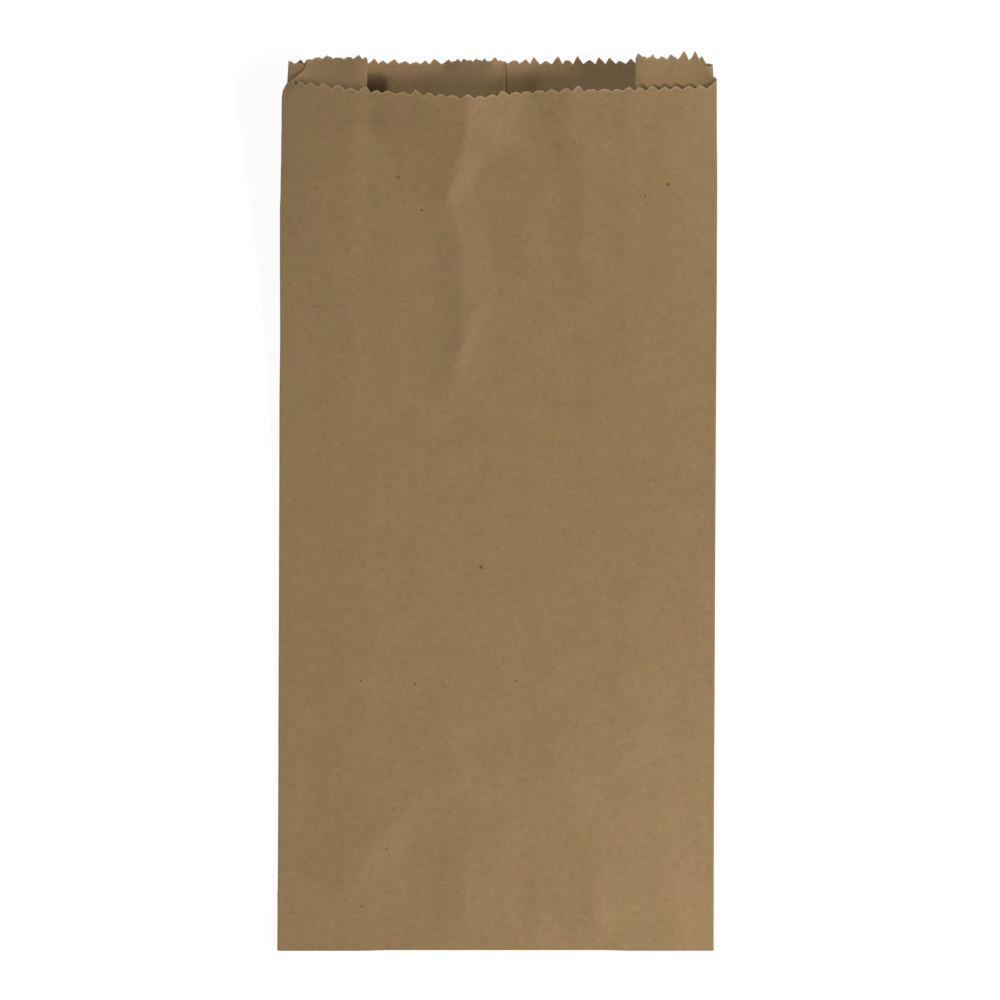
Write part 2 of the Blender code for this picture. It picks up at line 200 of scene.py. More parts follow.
FRONT_CRESTS = (
    ((-38.8, 262, -0.5, 4.5, 8), (-38.8, 205, -0.3, 4.5, 8.5), (-38.6, 140, -0.1, 4.5, 9)),
    ((41.8, 262, -0.12, 3, 4.5), (41.8, 190, -0.05, 3, 4.5)),
    (
        (-9, 262, 3.75, 38, 17),
        (-9.9, 244, 3.38, 34, 17),
        (-11.5, 236, 2.25, 26, 7.5),
        (-14, 228, 1.25, 18, 5),
        (-17, 221, 0.25, 14, 1.5),
    ),
    ((21, 262, 1, 10, 24), (20, 240, 0.85, 9, 24), (16, 222, 0.12, 9, 16)),
    (
        (-14.5, 222, 0.75, 8, 9),
        (-11.1, 208, 1, 8, 9.5),
        (-10.8, 194, 1.06, 8, 10),
        (-11.1, 182, 0.94, 8, 10),
        (-13, 170, 0.62, 8, 10.5),
    ),
    ((-7, 190, 0.38, 5, 4), (-10.4, 181, 0.35, 5, 3.5), (-15, 170, 0.19, 5, 3)),
    ((25, 236, 0.5, 8, 18), (25, 203, 0.45, 8, 18)),
    ((8.5, 222, 0.35, 11, 8), (7, 206, 0.25, 11, 8)),
    ((-12.9, 52.2, 1, 18, 12), (-25, 45.6, 1, 17, 10), (-34.4, 33.3, 0.85, 16, 8), (-43, 22, 0.65, 16, 7)),
    ((-4, 46, 0.7, 16, 24), (-9, 30, 0.85, 17, 24), (-10, 13, 1, 17, 24)),
    ((18, 62, 0.5, 30, 32), (30, 12, 1, 30, 34)),
    ((12.8, 19, 0.16, 5, 3.6), (12.6, 9, 0.16, 5, 3.6)),
    ((31.5, 23, 0.25, 6, 4.6), (31.8, 8, 0.22, 6, 4.6)),
    ((54, 19, 0.2, 9, 4), (55, 9, 0.2, 9, 4)),
)
BACK_CRESTS = (((-2.5, 268, 5, 14, 14), (-2.5, 250, 3.6, 14, 14), (-2.5, 232, 0, 11.5, 15)),)
FRONT_SHARPNESS = 1.15
BACK_SHARPNESS = 0.7
END_FADE = 10 * MM
EDGE_FADE = 6 * MM
BOTTOM_FADE = 7 * MM

# The front's soft rise between its edges, and its rolling, as (size, height, seed) of the noise

LOFT = 0.45 * MM
LOFT_WIDTH = 30 * MM
LOFT_LENGTH = 40 * MM
ROLLING = ((26 * MM, 0.12 * MM, 3.1), (9 * MM, 0.04 * MM, 7.7))
ROLLING_LIFT = 0.05 * MM
ROLLING_FADE = 5 * MM


def along_line(s, v, line):
    """Signed distance from a line down the panel, place along it in stations, and distance past its ends."""
    best = np.full(np.broadcast(s, v).shape, np.inf)
    side, place = np.zeros(best.shape), np.zeros(best.shape)
    for i, (a, b) in enumerate(zip(line, line[1:])):
        piece = math.dist(a, b)
        direction = np.subtract(b, a) / piece
        ds, dv = s - a[0], v - a[1]
        t = np.clip(ds * direction[0] + dv * direction[1], 0, piece)
        gap = np.hypot(ds - t * direction[0], dv - t * direction[1])
        nearer = gap < best
        best = np.where(nearer, gap, best)
        side = np.where(nearer, dv * direction[0] - ds * direction[1], side)
        place = np.where(nearer, i + t / piece, place)
    beyond = np.sqrt(np.maximum(0, best**2 - side**2))
    return side, place, beyond


def crest(s, v, stations, sharpness):
    """Height of one crest over the panel."""
    side, place, beyond = along_line(s, v, [(across * MM, along * MM) for across, along, *_ in stations])
    numbers = range(len(stations))
    height, left, right = (np.interp(place, numbers, values) * MM for values in list(zip(*stations))[2:])
    fall = (1 - share(np.abs(side), 0, np.where(side < 0, left, right))) ** sharpness
    return height * fall * (1 - ease(share(beyond, 0, END_FADE)))


def cloud(s, v, size, seed):
    """Smooth noise from -1 to 1 on a grid of points, with features of about this size."""
    shape = np.broadcast(s, v).shape
    points = zip(np.broadcast_to(s, shape).ravel() / size, np.broadcast_to(v, shape).ravel() / size)
    return np.array([noise.noise(Vector((a, b, seed))) for a, b in points]).reshape(shape)


class FoldedSheet:
    """The folded sheet as grids of points, with rows along the bag and columns across the web."""

    # How finely the grid is divided

    ROW_SPACING = 1.7 * MM
    FRONT_SPACING = 1.2 * MM
    BACK_SPACING = 2.4 * MM
    GUSSET_SPACING = 2.0 * MM
    FLAP_SPACING = 2.4 * MM
    TONGUE_SPACING = 1.5 * MM
    CURL_STOPS = (0.35 * MM, 0.7 * MM, 1.1 * MM)
    FOLD_STOPS = (0.5 * MM, 1.1 * MM)
    TURN_SEGMENTS = 4
    BOTTOM_SEGMENTS = 8
    FIELD_MARGIN = 5 * MM

    # The rows below the teeth, which stretch to follow the line of the cut

    TOOTH_BAND = 2.2 * MM
    STRETCHED_BAND = 12 * MM
    STRETCHED_ROWS = 9
    SMOOTHED_COLUMNS = 9

    # How the paper bends. A sweep is the power of a curve: a higher one stays flat for longer.

    LOOSENESS = 0.03
    OPENING_SWEEP = 2
    BACK_SWEEP = 2.2
    ARCH_SWEEP = 4
    CURL_WIDTH = 1.1 * MM
    CURL_SWEEP = 1.6
    FRONT_SETTLES = 4
    GUSSET_FADE = 9 * MM
    CORNER_WIDTH = 9 * MM
    CORNER_TOP = 1 * MM
    CORNER_SWEEPS = (3.2, 2)
    TONGUE_CORNER = 4 * MM

    # The line of the front's cut: its dip left of the middle, and where it rises at the sides

    LIP_DROP = 1.9 * MM
    DIP, DIP_MIDDLE, DIP_WIDTH, DIP_SWEEP = 2.05 * MM, -10 * MM, 45 * MM, 1.5
    LEFT_RISE, LEFT_INSET, LEFT_END, LEFT_SWEEP = 2.0 * MM, 1 * MM, -38 * MM, 1.4
    RIGHT_RISE, RIGHT_START, RIGHT_END = 0.6 * MM, 44 * MM, 58 * MM
    RIGHT_TIP, RIGHT_TIP_WIDTH = 2.6 * MM, 3 * MM

    def __init__(self, sizes, mouth, cut):
        self.sizes, self.mouth, self.cut = sizes, mouth, cut
        self.pitch = sizes.paper + sizes.layer_gap
        self.radius = self.pitch / 2
        self.half = sizes.face_width / 2 - self.radius - sizes.paper / 2
        self.fold = self.radius + 3 * self.pitch + sizes.paper / 2
        self.table = sizes.paper / 2
        self.lap_rise = sizes.paper + sizes.glue
        self.flap_end = self.fold + sizes.flap
        self.tongue_end = self.flap_end + sizes.tongue
        self.rows = np.arange(self.fold, sizes.back_height + self.FIELD_MARGIN, self.ROW_SPACING / 2)
        self.make_field()

    # Heights of the panels

    def opened(self, v):
        """How open the bag is, from 0 at the glued bottom to 1 at the back lip."""
        start = self.mouth.start
        loose = self.LOOSENESS * ease(share(v, self.tongue_end, start))
        widening = (np.maximum(0, v - start) / (self.sizes.back_height - start)) ** self.OPENING_SWEEP
        return loose + (1 - self.LOOSENESS) * widening

    def floor(self, v, settle):
        """Height of the lowest layer's middle, which settles on what lies below it over this length."""
        to_tongue = ease(share(v, self.flap_end, self.flap_end + settle))
        to_table = ease(share(v, self.tongue_end, self.tongue_end + settle))
        return mix(mix(self.fold + self.radius, self.table + self.lap_rise, to_tongue), self.table, to_table)

    def back_z(self, s, v):
        lift = np.where(s < 0, self.mouth.left_back, self.mouth.right_back)
        outward = share(np.abs(s), self.mouth.flat_back, self.half) ** self.BACK_SWEEP
        ridges = sum(crest(s, v, stations, BACK_SHARPNESS) for stations in BACK_CRESTS)
        return self.floor(v, self.sizes.settle) + lift * self.opened(v) * outward + ridges

    def lapped_z(self, s, v):
        """The back's left half, which climbs over the right one at the seam and curls up at its edge."""
        lap = self.sizes
        climbed = 1 - share(-s, -lap.lap_outer, lap.lap_ramp - lap.lap_outer)
        curl = share(s, lap.lap_inner - self.CURL_WIDTH, lap.lap_inner) ** self.CURL_SWEEP
        free = ease(share(v, self.mouth.start, lap.front_height))
        return self.back_z(s, v) + self.lap_rise * climbed + self.mouth.seam_curl * curl * free

    def front_z(self, s, v):
        open_here = self.opened(v)
        lift = mix(self.mouth.left_front, self.mouth.right_front, (s / self.half + 1) / 2)
        depth = np.where(s < 0, self.sizes.left_gusset, self.sizes.right_gusset)
        inner = self.half - depth
        sag = self.pitch * ease(share(np.abs(s), inner, inner - self.GUSSET_FADE))
        arch = self.mouth.front_rise * open_here * (1 - (s / self.half) ** self.ARCH_SWEEP)
        floor = self.floor(v, self.FRONT_SETTLES * self.sizes.settle)
        return floor + 3 * self.pitch + lift * open_here + arch - sag + self.relief(s, v)

    def relief(self, s, v):
        """The front's crumples. They fade towards the side folds and the bottom fold."""
        inside, above = self.half - np.abs(s), v - self.fold
        loft = LOFT * ease(share(inside, 0, LOFT_WIDTH)) * ease(share(above, 0, LOFT_LENGTH))
        crests = sum(crest(s, v, stations, FRONT_SHARPNESS) for stations in FRONT_CRESTS)
        crests = crests * ease(share(inside, 0, EDGE_FADE))
        rolling = sum(height * cloud(s, v, size, seed) for size, height, seed in ROLLING)
        rolling = (rolling + ROLLING_LIFT) * ease(share(inside, 0, ROLLING_FADE))
        return np.maximum(0, loft + crests + rolling) * ease(share(above, 0, BOTTOM_FADE))

    # The section across the bag

    def unrolled(self, s, z):
        """X of points across a panel, so that the paper keeps its own width where it curves."""
        step = np.diff(s)
        run = np.sign(step) * np.sqrt(np.maximum(0, step**2 - np.diff(z, axis=1) ** 2))
        x = np.concatenate([np.zeros((len(z), 1)), np.cumsum(run, axis=1)], axis=1)
        return x - x[:, [np.argmin(np.abs(s))]]

    def tucked(self, s, x, v):
        tuck = np.where(s < 0, self.mouth.left_tuck, self.mouth.right_tuck)
        return x - np.sign(s) * tuck * self.opened(v) * (s / self.half) ** 2

    def turn(self, x, z, outward, start, end):
        """A half turn of the paper about the centre x, z, from one angle to another."""
        angles = np.linspace(start, end, self.TURN_SEGMENTS + 1)
        return x + outward * self.radius * np.cos(angles), z + self.radius * np.sin(angles)

    def gusset(self, side, back_x, back_z, hinge_x, front_x, front_z, v):
        """The runs from the back to the front: a turn, half a gusset, the crease, the other half, a turn."""
        depth = self.sizes.left_gusset if side == LEFT else self.sizes.right_gusset
        lift = self.mouth.left_crease if side == LEFT else self.mouth.right_crease
        back_lift = self.mouth.left_back if side == LEFT else self.mouth.right_back
        quarter = math.pi / 2
        centre_z = self.floor(v, self.sizes.settle) + 1.5 * self.pitch + lift * self.opened(v)
        inward = np.sqrt(depth**2 - ((lift - back_lift) * self.opened(v)) ** 2)
        centre_x = (back_x + hinge_x) / 2 - side * inward
        back = self.turn(back_x, back_z + self.radius, side, -quarter, quarter)
        crease = self.turn(centre_x, centre_z, -side, -quarter, quarter)
        front = self.turn(front_x, front_z - self.radius, side, -quarter, quarter)
        t = np.linspace(0, 1, round(depth / self.GUSSET_SPACING) + 1)
        lower = [mix(a[:, [-1]], b[:, [0]], t) for a, b in zip(back, crease)]
        upper = [mix(a[:, [-1]], b[:, [0]], t) for a, b in zip(crease, front)]
        # The curve is 1 at its peak, which lies two thirds of the way from the crease to the front fold
        hanging = 27 / 4 * t**2 * (1 - t)
        upper[1] = upper[1] - self.mouth.gusset_sag * self.opened(v) * hanging
        turn_u = np.linspace(0, math.pi * self.radius, self.TURN_SEGMENTS + 1)
        half_u = t * depth
        return [(turn_u, *back), (half_u, *lower), (turn_u, *crease), (half_u, *upper), (turn_u, *front)]

    def make_field(self):
        """Places a fine grid of the sheet's points above the bottom fold."""
        sizes, v = self.sizes, self.rows[:, None]
        seam = [sizes.lap_inner - distance for distance in self.CURL_STOPS]
        climb = (sizes.lap_outer, sizes.lap_outer - sizes.lap_ramp)
        left_s = stops(sizes.lap_inner, -self.half, self.BACK_SPACING, [*seam, 0, *climb])
        right_s = stops(self.half, sizes.lap_outer, self.BACK_SPACING, [0])
        near_folds = [side * (self.half - distance) for side in (LEFT, RIGHT) for distance in self.FOLD_STOPS]
        front_s = stops(-self.half, self.half, self.FRONT_SPACING, [0, *near_folds])
        left_flat = self.back_z(left_s, v)
        right_z = self.back_z(right_s, v)
        left_x = self.tucked(left_s, self.unrolled(left_s, left_flat), v)
        right_x = self.tucked(right_s, self.unrolled(right_s, right_z), v)
        front_z = self.front_z(front_s, v)
        flat_x = self.unrolled(front_s, front_z)
        front_x, front_z = self.bent_corner(front_s, flat_x, front_z, v)
        backs = ((left_x[:, [-1]], left_flat[:, [-1]]), (right_x[:, [0]], right_z[:, [0]]))
        fronts = [(flat_x[:, [end]], front_x[:, [end]], front_z[:, [end]]) for end in (0, -1)]
        left = self.gusset(LEFT, *backs[0], *fronts[0], v)
        right = self.gusset(RIGHT, *backs[1], *fronts[1], v)
        mirrored = [(u[-1] - u[::-1], x[:, ::-1], z[:, ::-1]) for u, x, z in reversed(right)]
        runs = [
            (sizes.lap_inner - left_s, left_x, self.lapped_z(left_s, v)),
            *left,
            (front_s + self.half, front_x, front_z),
            *mirrored,
            (self.half - right_s, right_x, right_z),
        ]
        self.front_start = sum(run[0][-1] for run in runs[:6])
        self.front_end = self.front_start + runs[6][0][-1]
        self.front_middle = self.front_start + self.half
        self.web = sum(run[0][-1] for run in runs)
        start, us, xs, zs = 0.0, [np.zeros(1)], [runs[0][1][:, :1]], [runs[0][2][:, :1]]
        for u, x, z in runs:
            us.append(start + u[1:])
            xs.append(x[:, 1:])
            zs.append(z[:, 1:])
            start += u[-1]
        self.columns = np.concatenate(us)
        x = np.concatenate(xs, axis=1) + self.mouth.lean * v / sizes.back_height
        z = np.concatenate(zs, axis=1)
        climb = np.diff(z, axis=0)
        run = np.sqrt(np.maximum(0, (self.rows[1] - self.rows[0]) ** 2 - climb**2))
        y = self.fold + np.concatenate([np.zeros((1, z.shape[1])), np.cumsum(run, axis=0)])
        self.field = np.stack([x, y, z], axis=2)

    def bent_corner(self, s, x, z, v):
        """Draws the front's top left corner in and down."""
        top = self.sizes.front_height
        up = share(v, top - self.mouth.corner_length, top + self.CORNER_TOP) ** self.CORNER_SWEEPS[0]
        near = share(-s, self.half - self.CORNER_WIDTH, self.half) ** self.CORNER_SWEEPS[1]
        return x + self.mouth.corner_pull * up * near, z - self.mouth.corner_drop * up * near

    def at(self, u, v):
        """The sheet's points at u across the web and v along it."""
        u, v = np.broadcast_arrays(u, v)
        i = np.clip(np.searchsorted(self.columns, u, side="right") - 1, 0, len(self.columns) - 2)
        across = ((u - self.columns[i]) / (self.columns[i + 1] - self.columns[i]))[..., None]
        row = np.clip((v - self.fold) / (self.rows[1] - self.rows[0]), 0, len(self.rows) - 1.001)
        j = row.astype(int)
        along = (row - j)[..., None]
        low = mix(self.field[j, i], self.field[j, i + 1], across)
        high = mix(self.field[j + 1, i], self.field[j + 1, i + 1], across)
        return mix(low, high, along)

    # The cut

    def inside_front(self, u):
        """How far u lies inside the front panel, from its nearer side fold."""
        return np.minimum(u - self.front_start, self.front_end - u)

    def front_s(self, u):
        return u - self.front_start - self.half

    def back_s(self, u):
        """Place across the back, which carries on past the side folds into the gussets."""
        lap = self.sizes
        return np.where(u < self.front_start, lap.lap_inner - u, lap.lap_outer + self.web - u)

    def front_line(self, s):
        """Length of the front to the valleys of its teeth. It hangs lowest left of the middle."""
        from_left = share(s, -self.half + self.LEFT_INSET, self.LEFT_END)
        from_right = share(self.half - s, 0, self.RIGHT_TIP_WIDTH)
        from_dip = share(np.abs(s - self.DIP_MIDDLE), 0, self.DIP_WIDTH)
        left = self.LEFT_RISE * (1 - from_left) ** self.LEFT_SWEEP
        tip = self.RIGHT_TIP * (1 - from_right)
        right = self.RIGHT_RISE * share(s, self.RIGHT_START, self.RIGHT_END)
        dip = self.DIP * (1 - from_dip) ** self.DIP_SWEEP
        return self.sizes.front_height - self.LIP_DROP + left + tip + right - dip

    def stepped(self, past, steps):
        """Length of the sheet at a distance past a fold, from a table of steps over the back's valleys."""
        distances, heights = zip(*steps)
        return self.sizes.back_height + np.interp(past / MM, distances, heights) * MM

    def cut_line(self, u):
        """Length of the sheet at u to the valleys of its teeth."""
        past_left, past_right = self.front_start - u, u - self.front_end
        left_back = np.abs(past_left - 2 * self.sizes.left_gusset)
        right_back = np.abs(past_right - 2 * self.sizes.right_gusset)
        left = np.where(
            past_left < self.sizes.left_gusset,
            self.stepped(past_left, LEFT_STEPS),
            self.stepped(left_back, LEFT_BACK_STEPS),
        )
        right = np.where(
            past_right < self.sizes.right_gusset,
            self.stepped(past_right, RIGHT_STEPS),
            self.stepped(right_back, RIGHT_BACK_STEPS),
        )
        front = self.front_line(self.front_s(u))
        return np.where(past_left > 0, left, np.where(past_right > 0, right, front))


# The cut near the corners, as (distance past the side fold, height over the back's valleys) in millimetres

LEFT_STEPS = ((0, -7), (2.4, -5.1), (4.2, -3.7), (5.5, -2.5), (6.2, 0.3))
LEFT_BACK_STEPS = ((0, -1.1), (7.5, -1.1), (10, -0.3))
RIGHT_STEPS = ((0, -5.6), (1.8, -4.2), (4.2, -1.7), (6.9, 2.9), (7.9, 0.2))
RIGHT_BACK_STEPS = ((0, -1.9), (1.4, -1.7), (2.2, -0.8), (6, -0.6), (9, -0.3))


class SawCut:
    """The irregular teeth of a cut, some of them with blunt tips."""

    STEP_SPREAD = 0.09
    TIP_SPREAD = 0.09
    TIP_RANGE = (0.3, 0.7)
    HEIGHT_SPREAD = 0.3
    HEIGHT_RANGE = (0.35, 1.45)
    BLUNT_SHARE = 0.22
    BLUNT_TOP = 0.6

    def __init__(self, start, end, pitch, depth, roundness, seed):
        rng = np.random.default_rng(seed)
        count = round((end - start) / pitch)
        steps = pitch * (1 + self.STEP_SPREAD * rng.standard_normal(count))
        steps *= (end - start) / steps.sum()
        self.valleys = start + np.concatenate([[0], np.cumsum(steps)])
        middles = np.clip(0.5 + self.TIP_SPREAD * rng.standard_normal(count), *self.TIP_RANGE)
        self.tips = self.valleys[:-1] + steps * middles
        heights = np.clip(1 + self.HEIGHT_SPREAD * rng.standard_normal(count), *self.HEIGHT_RANGE)
        self.heights = depth * heights
        self.roundness = rng.uniform(*roundness, count)
        self.tops = np.where(rng.random(count) < self.BLUNT_SHARE, self.BLUNT_TOP, 1.0)

    def height(self, u):
        i = np.clip(np.searchsorted(self.valleys, u, side="right") - 1, 0, len(self.tips) - 1)
        before = (self.tips[i] - u) / (self.tips[i] - self.valleys[i])
        after = (u - self.tips[i]) / (self.valleys[i + 1] - self.tips[i])
        t = np.clip(np.where(u < self.tips[i], before, after), 0, 1)
        inside = (u >= self.valleys[0]) & (u <= self.valleys[-1])
        return np.where(inside, self.heights[i] * np.minimum(1 - t ** self.roundness[i], self.tops[i]), 0)

    def marks(self):
        return np.concatenate([self.valleys, self.tips])


# Each cut's range of roundness and its seed

LEFT_TEETH = ((1.0, 1.25), 1496)
RIGHT_TEETH = ((1.0, 1.3), 23)
FRONT_TEETH = ((1.0, 1.7), 5)
TONGUE_TEETH = ((1.1, 2), 8)

# Where the back's teeth stop, from the front's side folds, and the front's, from its own corners

BACK_INSETS = (6.8 * MM, 7.7 * MM)
FRONT_INSETS = (0.4 * MM, 3 * MM)

# The depth of the back's left teeth as a share of its right ones, and the fibres that stand out of the cut

LEFT_DEPTH = 0.68
FIBRE_SIZE = 0.5 * MM
FIBRE_SEED = 4.5


def make_cut(sheet):
    """Returns the height of the teeth at u, and the places of their tips and valleys."""
    cut, half, lap = sheet.cut, sheet.half, sheet.sizes
    left_end = half + 2 * lap.left_gusset - BACK_INSETS[0]
    right_start = lap.lap_outer + cut.back_pitch / 2
    right_end = half + 2 * lap.right_gusset - BACK_INSETS[1]
    left = SawCut(-left_end, lap.lap_inner, cut.back_pitch, LEFT_DEPTH * cut.back_depth, *LEFT_TEETH)
    right = SawCut(right_start, right_end, cut.back_pitch, cut.back_depth, *RIGHT_TEETH)
    front_ends = (FRONT_INSETS[0] - half, half - FRONT_INSETS[1])
    front = SawCut(*front_ends, cut.front_pitch, cut.front_depth, *FRONT_TEETH)

    def height(u):
        back_s = sheet.back_s(u)
        back = np.where(u < sheet.front_start, left.height(back_s), right.height(back_s))
        teeth = np.where(sheet.inside_front(u) > 0, front.height(sheet.front_s(u)), back)
        return teeth + cut.raggedness * cloud(u, 0, FIBRE_SIZE, FIBRE_SEED)

    left_marks = lap.lap_inner - left.marks()
    right_marks = lap.lap_outer + sheet.web - right.marks()
    front_marks = front.marks() + sheet.front_start + half
    return height, np.sort(np.concatenate([left_marks, right_marks, front_marks]))


TOOTH_SAMPLING = 0.42 * MM
SMALLEST_STEP = 0.09 * MM


def tooth_stops(start, end, marks):
    """The ends of a cell between two columns, with places for its teeth between them."""
    inner = [mark for mark in marks if start + SMALLEST_STEP < mark < end - SMALLEST_STEP]
    return stops(start, end, TOOTH_SAMPLING, inner)


class SheetMesh:
    """Gathers the points and faces of the sheet, with each point's place on the flat paper."""

    def __init__(self):
        self.points, self.flat, self.near_cut, self.faces = [], [], [], []

    def add(self, points, us, vs, near_cut=0.0):
        first = len(self.points)
        self.points += [tuple(p) for p in points]
        self.flat += [(u, v, 0.0) for u, v in zip(us, np.broadcast_to(vs, len(us)))]
        self.near_cut += [near_cut] * len(us)
        return list(range(first, len(self.points)))

    def join_rows(self, first, second):
        for a, b, c, d in zip(first, first[1:], second[1:], second):
            self.faces.append((a, d, c, b))

    def join_fan(self, left, right, tips, reverse):
        """Fills between two points of a row and the toothed edge beyond them."""
        middle = (len(tips) - 1) // 2
        triangles = [(left, tips[i], tips[i + 1]) for i in range(middle)]
        triangles.append((left, tips[middle], right))
        triangles += [(right, tips[i], tips[i + 1]) for i in range(middle, len(tips) - 1)]
        self.faces += [triangle[::-1] if reverse else triangle for triangle in triangles]

    def to_object(self, name, origin):
        mesh = bpy.data.meshes.new(name)
        mesh.from_pydata([tuple(np.add(p, origin)) for p in self.points], [], self.faces)
        flat = mesh.attributes.new("flat_sheet", "FLOAT_VECTOR", "POINT")
        flat.data.foreach_set("vector", np.array(self.flat, np.float32).ravel())
        near = mesh.attributes.new("near_cut", "FLOAT", "POINT")
        near.data.foreach_set("value", np.array(self.near_cut, np.float32))
        made = bpy.data.objects.new(name, mesh)
        bpy.context.scene.collection.objects.link(made)
        return made


def toothed_edge(mesh, base, columns, line, height, marks, place, reverse):
    """Adds the teeth beyond a row of points."""
    last = None
    for left, right, start, end in zip(base, base[1:], columns, columns[1:]):
        us = tooth_stops(start, end, marks)
        vs = line(us) + height(us)
        ends = [place(start, vs), place(end, vs)]
        across = ((us - start) / (end - start))[:, None]
        points = mix(ends[0], ends[1], across)
        if last is None:
            tips = mesh.add(points, us, vs, 1.0)
        else:
            tips = [last, *mesh.add(points[1:], us[1:], vs[1:], 1.0)]
        last = tips[-1]
        mesh.join_fan(left, right, tips, reverse)


def body_rows(sheet, mesh):
    """The rows of the tube, from the bottom fold to the start of the teeth."""
    columns = sheet.columns
    base = sheet.cut_line(columns) - sheet.TOOTH_BAND
    even_end = base.min() - sheet.STRETCHED_BAND
    lengths = stops(sheet.fold, even_end, sheet.ROW_SPACING)
    rows = [mesh.add(sheet.at(columns, v), columns, v) for v in lengths]
    window = np.full(sheet.SMOOTHED_COLUMNS, 1 / sheet.SMOOTHED_COLUMNS)
    smoothed = np.convolve(np.pad(base, len(window) // 2, mode="edge"), window, mode="valid")
    base = np.minimum(base, smoothed)
    for i in range(1, sheet.STRETCHED_ROWS + 1):
        v = mix(even_end, base, i / sheet.STRETCHED_ROWS)
        rows.append(mesh.add(sheet.at(columns, v), columns, v))
    return rows


def bottom_rows(sheet, mesh):
    """The rows of the bottom fold and of the flap under the back, in order from the fold."""
    columns = sheet.columns
    section = sheet.at(columns, sheet.fold)
    reach = section[:, 2] - sheet.fold
    rows = []
    for i in range(1, sheet.BOTTOM_SEGMENTS + 1):
        turned = math.pi * i / sheet.BOTTOM_SEGMENTS
        y = sheet.fold - reach * math.sin(turned)
        z = sheet.fold + reach * math.cos(turned)
        v = sheet.fold - sheet.fold * turned
        rows.append(mesh.add(np.stack([section[:, 0], y, z], axis=1), columns, v))
    for y in stops(sheet.fold, sheet.flap_end, sheet.FLAP_SPACING)[1:]:
        rows.append(mesh.add(flap_points(sheet, columns, y), columns, sheet.fold - y))
    return rows


def flap_points(sheet, u, y):
    """Points of the flap under the back, and of the tongue that settles onto the table."""
    section = sheet.at(u, sheet.fold)
    settled = ease(share(np.asarray(y), sheet.flap_end, sheet.flap_end + sheet.sizes.settle))
    z = mix(2 * sheet.fold - section[..., 2], sheet.table, settled)
    return np.stack(np.broadcast_arrays(section[..., 0], y, z), axis=-1)


def tongue(sheet, mesh, flap_end):
    """The front's longer end, which reaches past the flap and is glued to the back."""
    kept = [(u, i) for u, i in zip(sheet.columns, flap_end) if sheet.inside_front(u) > -1e-9]
    columns = np.array([u for u, _ in kept])
    rows = [[i for _, i in kept]]
    for y in stops(sheet.flap_end, sheet.flap_end + sheet.sizes.settle, sheet.TONGUE_SPACING)[1:]:
        rows.append(mesh.add(flap_points(sheet, columns, y), columns, sheet.fold - y))
    for first, second in zip(rows, rows[1:]):
        mesh.join_rows(second, first)
    teeth = SawCut(columns[0], columns[-1], sheet.cut.front_pitch, sheet.cut.front_depth, *TONGUE_TEETH)

    def line(u):
        corner = sheet.TONGUE_CORNER * (1 - share(sheet.inside_front(u), 0, sheet.TONGUE_CORNER))
        return sheet.tongue_end - sheet.cut.front_depth - corner

    def place(u, y):
        return flap_points(sheet, np.full(np.shape(y), u), y)

    toothed_edge(mesh, rows[-1], columns, line, teeth.height, np.sort(teeth.marks()), place, reverse=True)


SHARP_ANGLE = math.radians(40)


def thicken(made, paper):
    """Turns the middle surface into paper with a real thickness, smooth but for its cut edges."""
    solidify = made.modifiers.new("paper", "SOLIDIFY")
    solidify.thickness = paper
    solidify.offset = 0
    solidify.use_even_offset = False
    graph = bpy.context.evaluated_depsgraph_get()
    thick = bpy.data.meshes.new_from_object(made.evaluated_get(graph))
    made.modifiers.clear()
    thin, made.data = made.data, thick
    bpy.data.meshes.remove(thin)
    thick.name = made.name
    thick.shade_smooth()
    thick.set_sharp_from_angle(angle=SHARP_ANGLE)


def make_bag(sizes, mouth, cut):
    """Builds the paper of the bag at its place around the solid, and returns it with its folded sheet."""
    sheet = FoldedSheet(sizes, mouth, cut)
    mesh = SheetMesh()
    body = body_rows(sheet, mesh)
    bottom = bottom_rows(sheet, mesh)
    rows = [*reversed(bottom), *body]
    for first, second in zip(rows, rows[1:]):
        mesh.join_rows(first, second)
    height, marks = make_cut(sheet)
    toothed_edge(mesh, body[-1], sheet.columns, sheet.cut_line, height, marks, sheet.at, reverse=False)
    tongue(sheet, mesh, bottom[-1])
    origin = (LOW.x + sizes.face_width / 2, LOW.y, LOW.z)
    made = mesh.to_object("kraft_sheet", origin)
    thicken(made, sizes.paper)
    return made, sheet


# The paper's finish


class Nodes:
    """Short ways to add the nodes of a material."""

    def __init__(self, material):
        material.use_nodes = True
        self.tree = material.node_tree
        self.tree.nodes.clear()

    def add(self, kind, inputs=(), **settings):
        node = self.tree.nodes.new(kind)
        for name, value in settings.items():
            setattr(node, name, value)
        for key, value in dict(inputs).items():
            if isinstance(value, bpy.types.NodeSocket):
                self.tree.links.new(value, node.inputs[key])
            else:
                node.inputs[key].default_value = value
        return node

    def stretched(self, vector, scale):
        return self.add("ShaderNodeVectorMath", {0: vector, 1: scale}, operation="MULTIPLY").outputs[0]

    def noise(self, vector, scale=1.0, detail=2.0, roughness=0.55):
        inputs = {"Vector": vector, "Scale": scale, "Detail": detail, "Roughness": roughness}
        return self.add("ShaderNodeTexNoise", inputs).outputs["Fac"]

    def ranged(self, value, low, high, to_low, to_high):
        inputs = {"Value": value, "From Min": low, "From Max": high, "To Min": to_low, "To Max": to_high}
        return self.add("ShaderNodeMapRange", inputs).outputs["Result"]

    def math(self, operation, a, b=0.0):
        return self.add("ShaderNodeMath", {0: a, 1: b}, operation=operation).outputs[0]

    def mixed(self, factor, a, b):
        return self.add("ShaderNodeMix", {0: factor, 6: a, 7: b}, data_type="RGBA").outputs[2]


def rgba(value):
    return (*value, 1.0)


# Flecks that stand out, as (across, along) in millimetres on the front panel, with their radius

